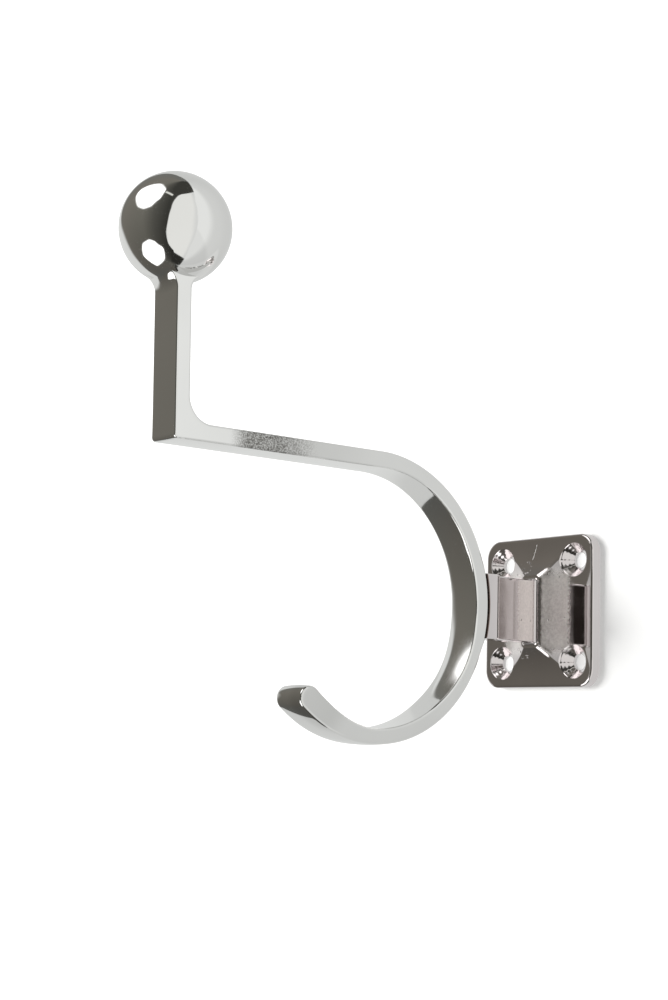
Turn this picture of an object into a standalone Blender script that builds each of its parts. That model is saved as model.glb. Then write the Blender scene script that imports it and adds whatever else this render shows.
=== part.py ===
"""Polished hat and coat hook on a square wall plate.

The origin is the centre of the plate's back, on the wall. The wall is the plane Y = 0 and the hook reaches
out along -Y, so "reach" below is the distance from the wall. +X is to the right of someone who faces the
wall and +Z is up. All sizes are in metres.
"""

import math

import bmesh
import bpy
from mathutils import Vector

# Gap kept between pieces that seat on each other
SEAT_GAP = 0.0003

# Square plate against the wall
PLATE_SIDE = 0.0398
PLATE_THICKNESS = 0.0028
PLATE_CORNER_RADIUS = 0.0048
PLATE_FRONT_ROUND = 0.0005
PLATE_BACK_BREAK = 0.0002

# Coved boss on the plate, which carries the neck
BOSS_RISE = 0.0027
BOSS_COVE_SWEEP = math.radians(33)
BOSS_SIDE_MARGIN = 0.0061
BOSS_END_MARGIN = 0.0011
BOSS_SIDE_LEDGE = 0.0001
BOSS_END_LEDGE = 0.00035
BOSS_HIP_ROUND = 0.0004

# Neck between the boss and the back of the hook
NECK_REACH = 0.0252
NECK_HEIGHT = 0.0166
NECK_WEB_THICKNESS = 0.0044
NECK_MOUTH_WIDTH = 0.0112
NECK_COLLAR = 0.0034
NECK_SCOTIA_RADIUS = 0.0038
NECK_SHOULDER_RADIUS = 0.0016
NECK_BASE_FILLET = 0.0009
NECK_EDGE_ROUND = 0.0005

# Countersunk holes for the wall screws
WALL_HOLE_INSET = 0.00665
WALL_HOLE_DIAMETER = 0.0042
WALL_HOLE_LAND = 0.0005
COUNTERSINK_HALF_ANGLE = math.radians(45)

# Flat strap of the hook
STRAP_WIDTH = 0.0095
STRAP_THICKNESS = 0.0040
STRAP_EDGE_ROUND = 0.0007
BEND_RADIUS = 0.0337
STEM_REACH = 0.1205
ELBOW_INNER_RADIUS = 0.0065
ELBOW_OUTER_RADIUS = 0.0010

# Lower tip of the hook, swollen towards the inside of the bend, with a round nose
TIP_SWEEP = math.radians(39.4)
TIP_SWELL_INSIDE = 0.00205
TIP_TAPER_OUTSIDE = 0.00035
TIP_TAPER_SWEEP = math.radians(15.4)

# Ball on the upright
KNOB_DIAMETER = 0.0262
KNOB_HEIGHT = 0.0812
KNOB_FILLET = 0.0038

# Hidden screws that clamp the hook to the neck
CLAMP_SPACING = 0.010
CLAMP_SCREW_DIAMETER = 0.0030
CLAMP_HEAD_DIAMETER = 0.0055
CLAMP_HEAD_HEIGHT = 0.0017
CLAMP_HEAD_RECESS = 0.0005
CLAMP_HEAD_ROUND = 0.0004
CLAMP_SOCKET_FLATS = 0.0020
CLAMP_SOCKET_DEPTH = 0.0011
CLAMP_TIP_CHAMFER = 0.0004
TAPPED_HOLE_FLOOR = 0.0010
WASHER_DIAMETER = 0.0056
WASHER_THICKNESS = 0.0008
WASHER_SPLIT = 0.0006

# How finely round shapes are divided
CORNER_STEPS = 6
FACE_STEPS = 4
SIDE_STEPS = 1
COVE_STEPS = 10
FILLET_STEPS = 6
BEND_STEP = math.radians(5)
ELBOW_STEPS = 12
ELBOW_CROWDING = 1.8
KNOB_RINGS = 14
TURNED_STEPS = 48
SADDLE_STEPS = 180
SHARP_ANGLE = math.radians(32)
MERGE_DISTANCE = 0.000001
CUT_MARGIN = 0.001

# Sizes that follow from the ones above
boss_reach = PLATE_THICKNESS + BOSS_RISE
strap_half = STRAP_THICKNESS / 2
bend_outer = BEND_RADIUS + strap_half
bend_inner = BEND_RADIUS - strap_half
bend_reach = NECK_REACH + bend_outer
saddle_radius = bend_outer + SEAT_GAP
wall_hole_offset = PLATE_SIDE / 2 - WALL_HOLE_INSET
clamp_hole_radius = CLAMP_SCREW_DIAMETER / 2 + SEAT_GAP
head_seat_reach = CLAMP_HEAD_RECESS + CLAMP_HEAD_HEIGHT
washer_reach = head_seat_reach + SEAT_GAP
counterbore_depth = washer_reach + WASHER_THICKNESS + SEAT_GAP
counterbore_radius = max(CLAMP_HEAD_DIAMETER, WASHER_DIAMETER) / 2 + SEAT_GAP
tapped_end_reach = NECK_REACH + STRAP_THICKNESS - TAPPED_HOLE_FLOOR


def point(across, reach, height):
    """A place given by its distance to the right, out from the wall, and up."""
    return Vector((across, -reach, height))


def steps(count):
    """Shares from 0 to 1, both included."""
    return [index / count for index in range(count + 1)]


def smooth_step(share):
    """A share from 0 to 1 that starts and ends gently."""
    share = min(max(share, 0.0), 1.0)
    return share * share * (3 - 2 * share)


def clear_scene():
    """Start from an empty scene."""
    for old in list(bpy.data.objects):
        bpy.data.objects.remove(old, do_unlink=True)


def finish(name, colour, roughness, metallic):
    """A plain metal material."""
    material = bpy.data.materials.new(name)
    material.use_nodes = True
    shader = material.node_tree.nodes["Principled BSDF"]
    shader.inputs["Base Color"].default_value = (*colour, 1.0)
    shader.inputs["Roughness"].default_value = roughness
    shader.inputs["Metallic"].default_value = metallic
    return material


def loft(name, rings, cap_first=False, cap_last=False):
    """A closed body through rings of equally many points; a ring that is a point or a line closes itself."""
    shape = bmesh.new()
    rows = [[shape.verts.new(place) for place in ring] for ring in rings]
    count = len(rings[0])
    for row, following in zip(rows, rows[1:]):
        for index in range(count):
            beyond = (index + 1) % count
            shape.faces.new((row[index], row[beyond], following[beyond], following[index]))
    if cap_first:
        shape.faces.new(rows[0])
    if cap_last:
        shape.faces.new(rows[-1])
    bmesh.ops.remove_doubles(shape, verts=shape.verts[:], dist=MERGE_DISTANCE)
    bmesh.ops.recalc_face_normals(shape, faces=shape.faces[:])
    mesh = bpy.data.meshes.new(name)
    shape.to_mesh(mesh)
    shape.free()
    mesh.shade_smooth()
    mesh.set_sharp_from_angle(angle=SHARP_ANGLE)
    body = bpy.data.objects.new(name, mesh)
    bpy.context.scene.collection.objects.link(body)
    return body


def turned(name, profile, across, height, sides=TURNED_STEPS):
    """A body turned about an axis that runs out from the wall, from (radius, reach) pairs."""
    rings = []
    for radius, reach in profile:
        ring = []
        for index in range(sides):
            angle = 2 * math.pi * (index + 0.5) / sides
            ring.append(point(across + radius * math.sin(angle), reach, height + radius * math.cos(angle)))
        rings.append(ring)
    return loft(name, rings, cap_first=True, cap_last=True)


def cut(body, cutter):
    """Take the cutter's shape out of the body and keep the cutter as a guide."""
    cutter.hide_render = True
    cutter.display_type = "WIRE"
    modifier = body.modifiers.new(cutter.name, "BOOLEAN")
    modifier.operation = "DIFFERENCE"
    modifier.solver = "EXACT"
    modifier.object = cutter


def mirrored_ring(quarter):
    """Repeat a quarter outline, from the top middle to the right middle, all the way round."""
    lower_right = [(across, -up) for across, up in reversed(quarter)][1:]
    lower_left = [(-across, -up) for across, up in quarter][1:]
    upper_left = [(-across, up) for across, up in reversed(quarter)][1:-1]
    return quarter + lower_right + lower_left + upper_left


def plate_ring(half_width, half_height, radius, reach):
    """A rectangle with round corners, parallel to the wall."""
    quarter = [(0.0, half_height)]
    for share in steps(CORNER_STEPS):
        angle = share * math.pi / 2
        across = half_width - radius + radius * math.sin(angle)
        quarter.append((across, half_height - radius + radius * math.cos(angle)))
    quarter.append((half_width, 0.0))
    return [point(across, reach, up) for across, up in mirrored_ring(quarter)]


def plate_rings():
    """The plate's back, edge and front rim."""
    half = PLATE_SIDE / 2
    rings = []
    for inset, reach in ((PLATE_BACK_BREAK, 0.0), (0.0, PLATE_BACK_BREAK)):
        rings.append(plate_ring(half - inset, half - inset, PLATE_CORNER_RADIUS - inset, reach))
    for share in steps(CORNER_STEPS):
        angle = share * math.pi / 2
        inset = PLATE_FRONT_ROUND * (1 - math.cos(angle))
        reach = PLATE_THICKNESS - PLATE_FRONT_ROUND * (1 - math.sin(angle))
        rings.append(plate_ring(half - inset, half - inset, PLATE_CORNER_RADIUS - inset, reach))
    return rings


def boss_rings():
    """The coved sides of the boss, from the plate's front up to the ledge round the neck."""
    foot_width = PLATE_SIDE / 2 - BOSS_SIDE_MARGIN
    foot_height = PLATE_SIDE / 2 - BOSS_END_MARGIN
    top_width = NECK_WEB_THICKNESS / 2 + NECK_BASE_FILLET + BOSS_SIDE_LEDGE
    top_height = NECK_HEIGHT / 2 + NECK_BASE_FILLET + BOSS_END_LEDGE
    rings = []
    for share in steps(COVE_STEPS):
        angle = share * BOSS_COVE_SWEEP
        inward = math.sin(angle) / math.sin(BOSS_COVE_SWEEP)
        upward = (1 - math.cos(angle)) / (1 - math.cos(BOSS_COVE_SWEEP))
        half_width = foot_width + (top_width - foot_width) * inward
        half_height = foot_height + (top_height - foot_height) * inward
        rings.append(plate_ring(half_width, half_height, BOSS_HIP_ROUND, PLATE_THICKNESS + BOSS_RISE * upward))
    return rings


def neck_profile():
    """Half widths of the neck's web, scotia, shoulder and collar, as (half width, reach) pairs."""
    web = NECK_WEB_THICKNESS / 2
    mouth = NECK_MOUTH_WIDTH / 2
    radii = NECK_SCOTIA_RADIUS + NECK_SHOULDER_RADIUS
    sweep = math.acos(1 - (mouth - web) / radii)
    collar_reach = NECK_REACH - NECK_COLLAR
    scotia_reach = collar_reach - radii * math.sin(sweep)
    profile = []
    for share in steps(FILLET_STEPS):
        angle = share * sweep
        half_width = web + NECK_SCOTIA_RADIUS * (1 - math.cos(angle))
        profile.append((half_width, scotia_reach + NECK_SCOTIA_RADIUS * math.sin(angle)))
    for share in steps(FILLET_STEPS)[1:]:
        angle = (1 - share) * sweep
        half_width = mouth - NECK_SHOULDER_RADIUS * (1 - math.cos(angle))
        profile.append((half_width, collar_reach - NECK_SHOULDER_RADIUS * math.sin(angle)))
    return profile


def neck_rings():
    """The neck, from its fillet on the boss to past the saddle that its mouth is cut to."""
    half_height = NECK_HEIGHT / 2
    rings = []
    for share in steps(CORNER_STEPS):
        angle = share * math.pi / 2
        flare = NECK_BASE_FILLET * (1 - math.sin(angle))
        reach = boss_reach + NECK_BASE_FILLET * (1 - math.cos(angle))
        half_width = NECK_WEB_THICKNESS / 2 + flare
        rings.append(plate_ring(half_width, half_height + flare, NECK_EDGE_ROUND + flare, reach))
    for half_width, reach in neck_profile():
        rings.append(plate_ring(half_width, half_height, NECK_EDGE_ROUND, reach))
    saddle_depth = saddle_radius - math.sqrt(saddle_radius ** 2 - half_height ** 2)
    mouth_reach = NECK_REACH + saddle_depth + CUT_MARGIN
    rings.append(plate_ring(NECK_MOUTH_WIDTH / 2, half_height, NECK_EDGE_ROUND, mouth_reach))
    return rings


def saddle_cutter():
    """A round bar as wide as the back of the bend, a seat gap larger, lying across the neck."""
    half_length = NECK_MOUTH_WIDTH
    rings = []
    for across in (-half_length, half_length):
        ring = []
        for index in range(SADDLE_STEPS):
            angle = 2 * math.pi * (index + 0.5) / SADDLE_STEPS
            reach = bend_reach + saddle_radius * math.cos(angle)
            ring.append(point(across, reach, saddle_radius * math.sin(angle)))
        rings.append(ring)
    return loft("saddle_cutter", rings, cap_first=True, cap_last=True)


def wall_hole_cutter(name, across, height):
    """A bore through the plate with a cone that opens to the front."""
    bore = WALL_HOLE_DIAMETER / 2
    mouth = bore + (boss_reach - WALL_HOLE_LAND) * math.tan(COUNTERSINK_HALF_ANGLE)
    profile = [(bore, -CUT_MARGIN), (bore, WALL_HOLE_LAND), (mouth, boss_reach)]
    return turned(name, profile, across, height)


def clamp_hole_cutter(name, height):
    """A counterbore in the plate's back and a clear hole along the neck."""
    profile = [
        (counterbore_radius, -CUT_MARGIN),
        (counterbore_radius, counterbore_depth),
        (clamp_hole_radius, counterbore_depth),
        (clamp_hole_radius, bend_reach),
    ]
    return turned(name, profile, 0.0, height)


def make_wall_plate():
    """The plate, its boss and the neck, in one casting."""
    rings = plate_rings() + boss_rings() + neck_rings()
    plate = loft("wall_plate", rings, cap_first=True, cap_last=True)
    cut(plate, saddle_cutter())
    for side, across in (("left", -wall_hole_offset), ("right", wall_hole_offset)):
        for level, height in (("upper", wall_hole_offset), ("lower", -wall_hole_offset)):
            cut(plate, wall_hole_cutter(f"{level}_{side}_wall_hole", across, height))
    for level, height in clamp_levels():
        cut(plate, clamp_hole_cutter(f"{level}_clamp_hole", height))
    plate.data.materials.append(finish("plate_nickel", (0.56, 0.52, 0.50), 0.12, 1.0))


def clamp_levels():
    """Names and heights of the two clamp screws."""
    return (("upper", CLAMP_SPACING / 2), ("lower", -CLAMP_SPACING / 2))


def strap_section(half_thickness, along=0.0):
    """Points round the strap as (across, outward) pairs; along is how far the ring lies into a round nose."""
    flat = STRAP_WIDTH / 2 - STRAP_EDGE_ROUND
    depth = min(STRAP_EDGE_ROUND, half_thickness - along)
    sweep = math.acos(1 - depth / STRAP_EDGE_ROUND)
    quarter = []
    for share in steps(FACE_STEPS)[:-1]:
        quarter.append((flat * share, math.sqrt(max(half_thickness ** 2 - along ** 2, 0.0))))
    for share in steps(CORNER_STEPS):
        angle = share * sweep
        radius = half_thickness - STRAP_EDGE_ROUND * (1 - math.cos(angle))
        outward = math.sqrt(max(radius ** 2 - along ** 2, 0.0))
        quarter.append((flat + STRAP_EDGE_ROUND * math.sin(angle), outward))
    side_across, side_outward = quarter[-1]
    for share in steps(SIDE_STEPS)[1:]:
        quarter.append((side_across, side_outward * (1 - share)))
    return mirrored_ring(quarter)


def strap_ring(centre, outward, half_thickness, along=0.0):
    """A ring of the strap at a place in the side view; centre and outward are (reach, height) pairs."""
    forward = (outward[1], -outward[0])
    ring = []
    for across, out in strap_section(half_thickness, along):
        reach = centre[0] + outward[0] * out + forward[0] * along
        height = centre[1] + outward[1] * out + forward[1] * along
        ring.append(point(across, reach, height))
    return ring


def fillet_place(across, out, share):
    """A place on the fillet between the upright and the ball, at a fixed distance across."""
    knob_radius = math.sqrt((KNOB_DIAMETER / 2) ** 2 - across ** 2)
    centre_out = out + KNOB_FILLET
    drop = math.sqrt((knob_radius + KNOB_FILLET) ** 2 - centre_out ** 2)
    angle = share * math.atan2(drop, centre_out)
    place_out = centre_out - KNOB_FILLET * math.cos(angle)
    return place_out, KNOB_HEIGHT - drop + KNOB_FILLET * math.sin(angle)


def knob_underside(across, out):
    """The height of the ball's underside."""
    return KNOB_HEIGHT - math.sqrt((KNOB_DIAMETER / 2) ** 2 - across ** 2 - out ** 2)


def fillet_ring(share):
    """A ring between the upright and the ball; the flat sides run straight up into the ball."""
    edge_out = strap_half - STRAP_EDGE_ROUND
    ring = []
    for across, out in strap_section(strap_half):
        on_side = abs(out) < edge_out - MERGE_DISTANCE
        start = edge_out if on_side else abs(out)
        place_out, height = fillet_place(across, start, share)
        if on_side:
            rim = knob_underside(across, fillet_place(across, start, 1.0)[0])
            place_out *= abs(out) / edge_out
            rim_out = fillet_place(across, start, 1.0)[0] * abs(out) / edge_out
            height += share * (knob_underside(across, rim_out) - rim)
        ring.append(point(across, STEM_REACH + math.copysign(place_out, out), height))
    return ring


def knob_rings():
    """Rings over the ball, from its top down to the rim of the fillet."""
    centre = point(0.0, STEM_REACH, KNOB_HEIGHT)
    rim = fillet_ring(1.0)
    count = len(rim)
    rings = []
    for share in steps(KNOB_RINGS):
        ring = []
        for index, place in enumerate(rim):
            offset = (place - centre).normalized()
            even = 2 * math.pi * index / count
            turn = math.atan2(offset.x, -offset.y) % (2 * math.pi)
            turn = even + (turn - even) * smooth_step(2 * share - 1)
            rise = share * math.acos(offset.z)
            level = math.sin(rise) * KNOB_DIAMETER / 2
            ring.append(centre + point(level * math.sin(turn), level * math.cos(turn),
                                       math.cos(rise) * KNOB_DIAMETER / 2))
        rings.append(ring)
    return rings


def elbow_rings():
    """The bend from upright to arm: a fillet inside and a nearly sharp corner outside."""
    arm_height = BEND_RADIUS
    pivot_reach = STEM_REACH - strap_half - ELBOW_INNER_RADIUS
    pivot_height = arm_height + strap_half + ELBOW_INNER_RADIUS
    wall = ELBOW_INNER_RADIUS + STRAP_THICKNESS
    soft = wall - ELBOW_OUTER_RADIUS
    rings = []
    for share in steps(ELBOW_STEPS):
        lean = 2 * share - 1
        angle = math.pi / 4 * (1 + math.copysign(abs(lean) ** ELBOW_CROWDING, lean))
        direction = (math.cos(angle), -math.sin(angle))
        far = wall / max(direction[0], -direction[1])
        middle = soft * (direction[0] - direction[1])
        spread = middle ** 2 - 2 * soft ** 2 + ELBOW_OUTER_RADIUS ** 2
        if min(direction[0], -direction[1]) * far > soft:
            far = middle + math.sqrt(spread)
        half = (far - ELBOW_INNER_RADIUS) / 2
        out = ELBOW_INNER_RADIUS + half
        rings.append(strap_ring((pivot_reach + direction[0] * out, pivot_height + direction[1] * out),
                                direction, half))
    return rings


def bend_rings():
    """The C from the arm's end, round the back and under, to the swollen lower tip and its round nose."""
    total = math.pi + TIP_SWEEP
    count = round(total / BEND_STEP)
    rings = []
    for share in steps(count):
        turn = share * total
        outer = bend_outer - TIP_TAPER_OUTSIDE * smooth_step((turn - total) / TIP_TAPER_SWEEP + 1)
        inner = bend_inner - TIP_SWELL_INSIDE * smooth_step((turn - total) / TIP_SWEEP + 1)
        rings.append(bend_ring(turn, outer, inner))
    for share in steps(FILLET_STEPS)[1:]:
        rings.append(bend_ring(total, outer, inner, math.sin(share * math.pi / 2)))
    return rings


def bend_ring(turn, outer, inner, nose=0.0):
    """One ring of the C at a turn from its top; nose is the share of the way into the round end."""
    middle = (outer + inner) / 2
    half = (outer - inner) / 2
    inward = (math.sin(turn), -math.cos(turn))
    centre = (bend_reach - inward[0] * middle, -inward[1] * middle)
    return strap_ring(centre, inward, half, half * nose)


def make_hook_arm():
    """Ball, upright, arm and C, in one casting, with two tapped holes in the back of the C."""
    rings = knob_rings()
    rings += [fillet_ring(share) for share in reversed(steps(FILLET_STEPS)[:-1])]
    rings += elbow_rings() + bend_rings()
    hook = loft("hook_arm", rings)
    for level, height in clamp_levels():
        profile = [(clamp_hole_radius, NECK_REACH - CUT_MARGIN), (clamp_hole_radius, tapped_end_reach)]
        cut(hook, turned(f"{level}_tapped_hole", profile, 0.0, height))
    hook.data.materials.append(finish("hook_chrome", (0.78, 0.78, 0.77), 0.06, 1.0))


def make_clamp_screw(level, height):
    """A socket head screw, with a hexagon socket towards the wall."""
    shank = CLAMP_SCREW_DIAMETER / 2
    head = CLAMP_HEAD_DIAMETER / 2
    tip = tapped_end_reach - SEAT_GAP
    profile = []
    for share in steps(CORNER_STEPS):
        angle = share * math.pi / 2
        inset = CLAMP_HEAD_ROUND * (1 - math.sin(angle))
        profile.append((head - inset, CLAMP_HEAD_RECESS + CLAMP_HEAD_ROUND * (1 - math.cos(angle))))
    profile.append((head, head_seat_reach))
    profile.append((shank, head_seat_reach))
    profile.append((shank, tip - CLAMP_TIP_CHAMFER))
    profile.append((shank - CLAMP_TIP_CHAMFER, tip))
    screw = turned(f"{level}_clamp_screw", profile, 0.0, height)
    corner = CLAMP_SOCKET_FLATS / math.sqrt(3)
    socket = [(corner, 0.0), (corner, CLAMP_HEAD_RECESS + CLAMP_SOCKET_DEPTH)]
    cut(screw, turned(f"{level}_screw_socket", socket, 0.0, height, sides=6))
    screw.data.materials.append(finish(f"{level}_screw_steel", (0.42, 0.41, 0.40), 0.32, 1.0))


def make_lock_washer(level, height):
    """A split spring washer under the screw's head."""
    inner = clamp_hole_radius
    outer = WASHER_DIAMETER / 2
    half_split = WASHER_SPLIT / (inner + outer)
    rings = []
    for share in steps(TURNED_STEPS):
        angle = half_split + share * 2 * (math.pi - half_split)
        ring = []
        for radius, reach in ((inner, 0.0), (outer, 0.0), (outer, WASHER_THICKNESS), (inner, WASHER_THICKNESS)):
            across = radius * math.sin(angle)
            ring.append(point(across, washer_reach + reach, height + radius * math.cos(angle)))
        rings.append(ring)
    washer = loft(f"{level}_lock_washer", rings, cap_first=True, cap_last=True)
    washer.data.materials.append(finish(f"{level}_washer_steel", (0.45, 0.43, 0.38), 0.38, 1.0))


def main():
    clear_scene()
    make_wall_plate()
    make_hook_arm()
    for level, height in clamp_levels():
        make_clamp_screw(level, height)
        make_lock_washer(level, height)


main()
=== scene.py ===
"""Looks of the polished hat and coat hook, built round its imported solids.

The origin is the centre of the plate's back, on the wall. The wall is the plane Y = 0 and the hook reaches
out along -Y, so "reach" below is the distance from the wall. +X is to the right of someone who faces the
wall and +Z is up. All sizes are in metres.
"""

import math

import bmesh
import bpy
from mathutils import Matrix, Vector


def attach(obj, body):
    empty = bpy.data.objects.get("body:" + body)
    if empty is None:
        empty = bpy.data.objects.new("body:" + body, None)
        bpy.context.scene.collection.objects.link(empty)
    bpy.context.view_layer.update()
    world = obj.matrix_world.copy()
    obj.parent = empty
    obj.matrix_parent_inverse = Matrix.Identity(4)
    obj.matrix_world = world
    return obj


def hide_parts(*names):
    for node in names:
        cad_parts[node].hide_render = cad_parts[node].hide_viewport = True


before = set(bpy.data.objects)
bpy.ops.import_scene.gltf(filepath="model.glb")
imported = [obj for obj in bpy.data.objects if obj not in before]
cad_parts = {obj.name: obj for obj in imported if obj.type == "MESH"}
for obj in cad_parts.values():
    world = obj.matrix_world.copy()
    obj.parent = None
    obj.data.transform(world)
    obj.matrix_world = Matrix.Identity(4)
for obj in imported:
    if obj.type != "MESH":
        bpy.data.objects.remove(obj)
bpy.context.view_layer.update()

# Gap kept between pieces that seat on each other
SEAT_GAP = 0.0003
SADDLE_GAP = 0.00012

# Square plate against the wall
PLATE_SIDE = 0.0398
PLATE_THICKNESS = 0.0028
PLATE_CORNER_RADIUS = 0.0048
PLATE_FRONT_ROUND = 0.0008
PLATE_BACK_BREAK = 0.0002

# Coved boss on the plate, which carries the neck
BOSS_RISE = 0.0027
BOSS_COVE_POWER = 2.6
BOSS_SIDE_MARGIN = 0.0061
BOSS_END_MARGIN = 0.0011
BOSS_SIDE_LEDGE = 0.0001
BOSS_END_LEDGE = 0.00035
BOSS_HIP_ROUND = 0.0004
BOSS_HIP_ROUND_TOP = 0.0013

# Neck between the boss and the back of the hook
NECK_REACH = 0.0252
NECK_HEIGHT = 0.0166
NECK_WEB_THICKNESS = 0.0044
NECK_MOUTH_WIDTH = 0.0107
NECK_COLLAR = 0.0026
NECK_SCOTIA_RADIUS = 0.0012
NECK_SHOULDER_RADIUS = 0.0020
NECK_BASE_FILLET = 0.0009
NECK_EDGE_ROUND = 0.0005

# Countersunk holes for the wall screws
WALL_HOLE_INSET = 0.00665
WALL_HOLE_DIAMETER = 0.0042
WALL_HOLE_LAND = 0.0005
COUNTERSINK_HALF_ANGLE = math.radians(45)

# Flat strap of the hook
STRAP_WIDTH = 0.0099
STRAP_THICKNESS = 0.0040
STRAP_SWELL = 0.00015
STRAP_EDGE_ROUND = 0.0006
BEND_RADIUS = 0.0337
STEM_REACH = 0.1205
ELBOW_INNER_RADIUS = 0.0061
ELBOW_OUTER_RADIUS = 0.0010

# Crown of the strap's faces, steeper on a facet inside the C and flat on the seat at its back
ARM_CROWN = 0.0001
FACE_CROWN = 0.00025
CROWN_FADE = math.radians(25)
FACET_CROWN = 0.0006
FACET_TURN = math.radians(118)
FACET_SPREAD = math.radians(28)
SEAT_EDGE_ROUND = 0.0005
SEAT_SPREAD = math.radians(20)
SEAT_FADE = math.radians(6)

# Lean of the upright, from its lower corner, which moves in, to the ball, which moves out
CORNER_INWARD = 0.00045
KNOB_OUTWARD = 0.0003
LEAN_START_REACH = 0.100
LEAN_FULL_REACH = 0.115

# Lower tip of the hook, swollen towards the inside of the bend, with a round nose
TIP_SWEEP = math.radians(39.4)
TIP_SWELL_INSIDE = 0.00205
TIP_TAPER_OUTSIDE = 0.0001
TIP_TAPER_SWEEP = math.radians(15.4)

# Ball on the upright
KNOB_DIAMETER = 0.0262
KNOB_HEIGHT = 0.0812
KNOB_FILLET = 0.0038

# Holes for the hidden clamp screws
CLAMP_SPACING = 0.010
CLAMP_SCREW_DIAMETER = 0.0030
CLAMP_HEAD_DIAMETER = 0.0055
CLAMP_HEAD_HEIGHT = 0.0017
CLAMP_HEAD_RECESS = 0.0005
TAPPED_HOLE_FLOOR = 0.0010
WASHER_DIAMETER = 0.0056
WASHER_THICKNESS = 0.0008

# Chrome of the hook, from dark to light, and the grey of its bare casting, also used for painted shade
CHROME_TONES = ((0.745, 0.743, 0.733, 1), (0.803, 0.799, 0.788, 1))
CAST_GREY_AND_SHADE = (0.13, 0.125, 0.115, 1)

# Patterns on the chrome: scales in features per metre, heights in metres, and the roughness they give
CHROME_CLOUD_SCALE = 60.0
CHROME_WAVE_SCALE = 75.0
CHROME_WAVE_HEIGHT = 0.000014
CHROME_BUFF_SCALES = (2400.0, 160.0, 160.0)
CHROME_BUFF_ROUGHNESS = (0.0, 0.03)
CHROME_SMUDGE_SCALE = 140.0
CHROME_SMUDGE_ROUGHNESS = (0.035, 0.075)
BUFF_HEIGHT = 0.0000002

# Casting grain on the arm's right side, drawn grey partly as painted shade in its fine hollows: soft edges
# along each axis, from none to full
GRAIN_SIDE_X = (0.0042, 0.0046)
GRAIN_OUTER_Y = (-0.1075, -0.1015)
GRAIN_INNER_Y = (-0.076, -0.095)
GRAIN_TOP_Z = (0.0385, 0.0365)
GRAIN_BOTTOM_Z = (0.0300, 0.0315)
GRAIN_SCALE = 2600.0
GRAIN_HEIGHT = 0.00006
GRAIN_ROUGHNESS = 0.12
GRAIN_CLUMP_SCALE = 700.0
# Painted shade: the arm's right side drawn greyer towards the bend, where it mirrors a dimmer wall
ARM_SHADE_INNER_Y = (-0.060, -0.086)
ARM_SHADE_SHARE = 0.17

# Painted shade on the side of the lower tip, and a worn patch at the bend, as centres and radii
TIP_SHADE = ((0.005, -0.0805, -0.0255), (0.006, 0.012, 0.012))
TIP_SHADE_SHARE = 0.16
WORN_BEND = ((0.003, -0.0328, -0.0143), (0.0055, 0.008, 0.012))
WORN_ROUGHNESS = 0.18

# Nickel of the plate, from dark to light, and its patterns, measured as on the chrome
NICKEL_TONES = ((0.635, 0.598, 0.597, 1), (0.715, 0.673, 0.672, 1))
NICKEL_CLOUD_SCALE = 90.0
NICKEL_WAVE_SCALE = 120.0
NICKEL_WAVE_HEIGHT = 0.000012
NICKEL_BUFF_SCALES = (160.0, 160.0, 2600.0)
NICKEL_BUFF_ROUGHNESS = (0.0, 0.02)
NICKEL_SMUDGE_SCALE = 180.0
NICKEL_SMUDGE_ROUGHNESS = (0.02, 0.05)

# Casting skin left on the boss's coves, drawn lighter than the nickel as a painted sheen: soft edges, from
# none to full, of the distances from the origin
SKIN_SHEEN_TONES = ((0.86, 0.815, 0.795, 1), (1.0, 0.955, 0.93, 1))
SKIN_INNER_X = (0.0030, 0.0042)
SKIN_OUTER_X = (0.0122, 0.0108)
SKIN_FRAY = 0.0008
SKIN_FOOT_X = (0.0140, 0.0126)
SKIN_TOP_REACH = (0.0065, 0.0050)
SKIN_END_Z = (0.0125, 0.0080)
SKIN_MOTTLE_SCALE = 1500.0
SKIN_HEIGHT = 0.00005
SKIN_ROUGHNESS = (0.30, 0.46)
FOOT_ROUGHNESS = 0.10
FRONT_REACH = (0.0014, 0.0022)

# Marks on the plate: pits as centres and radii, a white streak, turned countersinks, and painted shade along
# the seam
PIT_CLUSTERS = [((-0.0029, -0.0045, 0.0119), (0.0030, 0.0030, 0.0022)),
                ((-0.0037, -0.0045, -0.0115), (0.0022, 0.0030, 0.0018))]
PIT_SCALE = 900.0
PIT_CHOICE_SCALE = 420.0
PIT_DEPTH = 0.00012
PIT_COLOUR = (0.12, 0.11, 0.10, 1)
PIT_SHARE = 0.8
WHITE_STREAK_START = (-0.0004, 0.0, 0.0179)
WHITE_STREAK_END = (-0.0015, 0.0, 0.0140)
WHITE_STREAK_HALF_WIDTH = 0.00016
WHITE_STREAK_COLOUR = (0.95, 0.93, 0.92, 1)
WHITE_STREAK_ROUGHNESS = 0.6
COUNTERSINK_RIM = (0.0046, 0.0043)
COUNTERSINK_RING_SCALE = 1000.0
COUNTERSINK_RING_HEIGHT = 0.00006
COUNTERSINK_ROUGHNESS = 0.06
# Painted shade in the crease where the saddle meets the back of the bend: its width and colour
SEAM_SHADE_WIDTH = 0.00008
SEAM_SHADE_COLOUR = (0.34, 0.285, 0.26, 1)

# Steel of the clamp screws and washers, from dark to light, and its turned rings
SCREW_TONES = ((0.36, 0.35, 0.34, 1), (0.48, 0.47, 0.46, 1))
WASHER_TONES = ((0.38, 0.36, 0.32, 1), (0.52, 0.50, 0.44, 1))
STEEL_CLOUD_SCALE = 500.0
STEEL_RING_SCALE = 9000.0
STEEL_RING_HEIGHT = 0.000003
STEEL_ROUGHNESS = (0.24, 0.40)

# White wall close behind the plate, pale floor well below it, and the room's even light
WALL_HALF = 0.6
WALL_GAP = 0.0001
WALL_GLOW = 0.2
FLOOR_HALF = 1.5
FLOOR_DEPTH = 0.6
FLOOR_GLOW = 0.6
STAGE_PAINT = (0.85, 0.85, 0.84, 1)
ROOM_LIGHT = 0.28

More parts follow.
